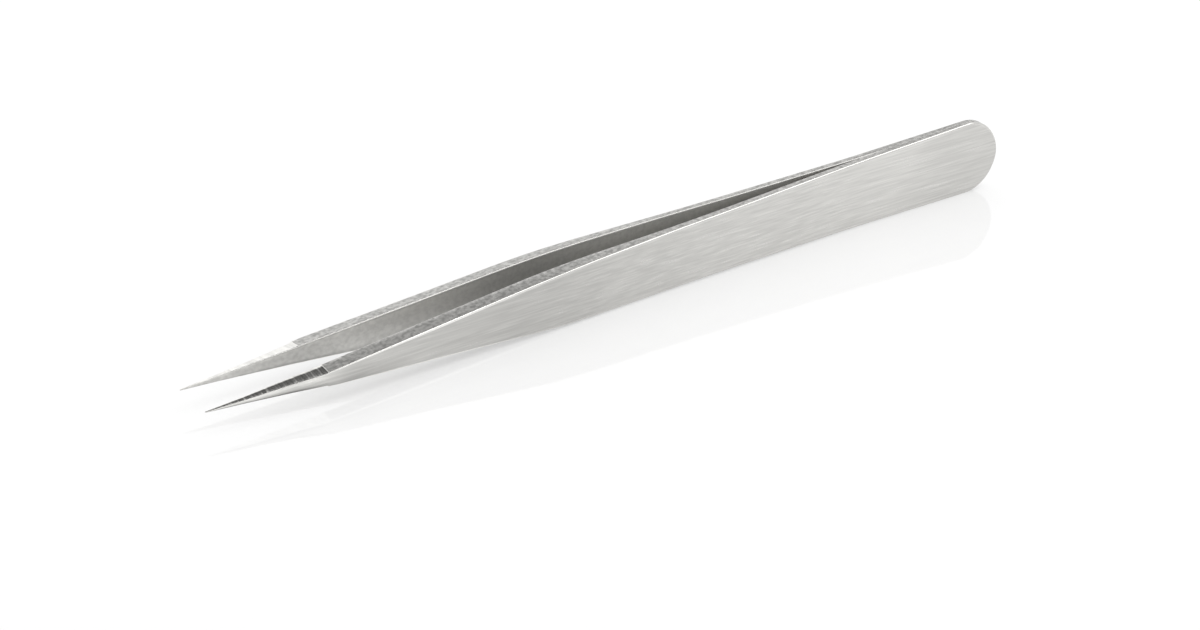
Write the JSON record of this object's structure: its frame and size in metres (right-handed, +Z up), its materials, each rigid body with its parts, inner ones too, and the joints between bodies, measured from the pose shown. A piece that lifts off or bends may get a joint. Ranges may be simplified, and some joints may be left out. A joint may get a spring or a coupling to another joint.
{
  "type": "fine-point tweezers",
  "caption": "Fine-point steel tweezers: mirrored spring arms welded at a rounded butt, thickened at the grip and ground to needle tips, standing on their narrow edges.",
  "frame": {"origin": "centre of the footprint on the ground, on the plane between the arms", "axes": "+X along the length from the tips to the butt, +Y across the gap from the front arm to the rear arm, +Z up across the width of the arms"},
  "size_m": [0.12, 0.009, 0.0102],
  "materials": {
    "arm_steel": "satin ground stainless steel, brushed along the length, polished on the outer edges"
  },
  "bodies": {
    "root": {"front_arm": "arm_steel", "rear_arm": "arm_steel"}
  },
  "joints": []
}
